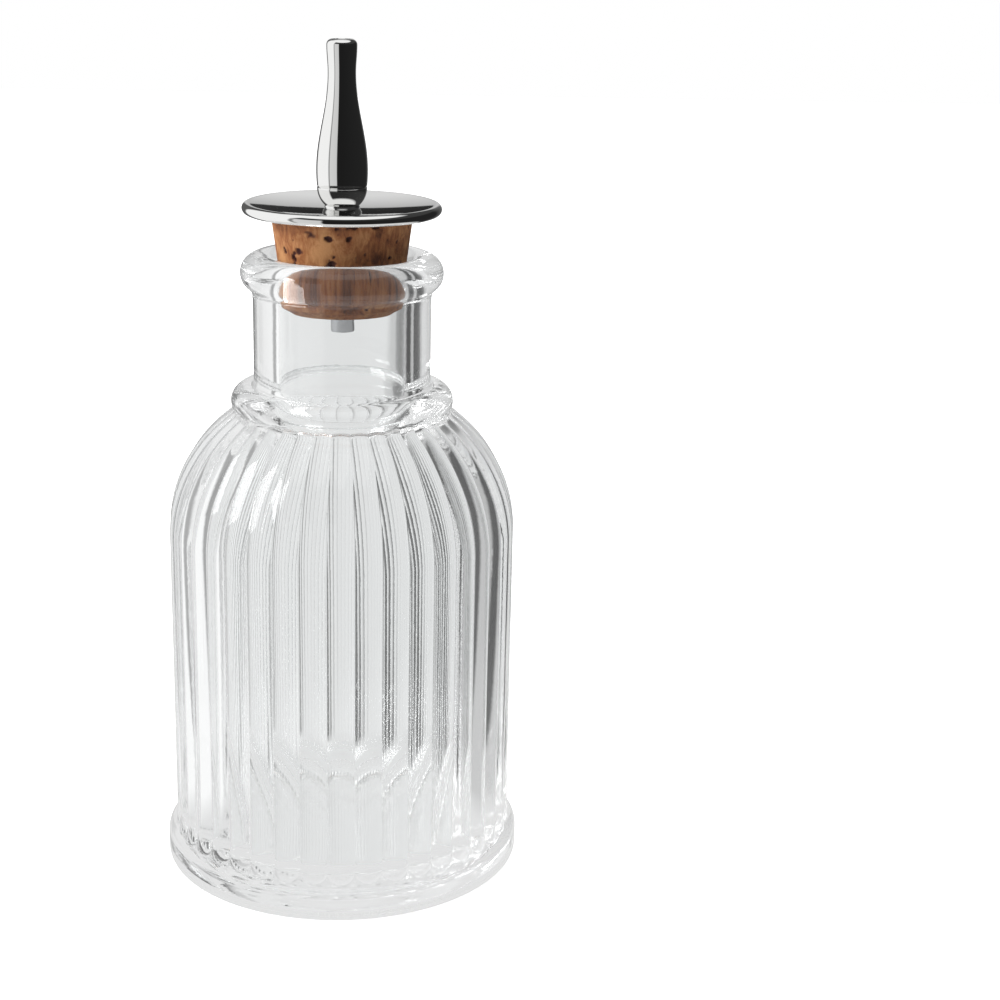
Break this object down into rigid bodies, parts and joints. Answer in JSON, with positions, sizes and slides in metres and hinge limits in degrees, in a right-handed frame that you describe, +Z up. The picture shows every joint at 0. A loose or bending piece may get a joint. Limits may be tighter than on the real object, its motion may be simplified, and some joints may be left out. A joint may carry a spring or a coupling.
{
  "type": "bitters bottle",
  "caption": "Reeded clear glass bitters bottle with a tapered cork that carries a chromed disc and a slender pouring spout.",
  "frame": {"origin": "centre of the foot, on the plane that the bottle stands on", "axes": "+Z up along the bottle's axis, from the foot to the spout's tip"},
  "size_m": [0.061, 0.061, 0.1389],
  "materials": {
    "clear_glass": "clear pressed glass, fire polished",
    "natural_cork": "natural cork, ground to a taper",
    "chromed_metal": "bright chrome plate",
    "steel_tube": "drawn steel tube"
  },
  "bodies": {
    "bottle": {"bottle": "clear_glass"},
    "stopper": {"cork": "natural_cork", "flange": "chromed_metal", "spout": "chromed_metal", "shank_tube": "steel_tube"}
  },
  "joints": [
    {"name": "stopper_lift", "type": "slide", "parent": "bottle", "child": "stopper", "axis": [0, 0, 1], "range_m": [0, 0.02]}
  ]
}
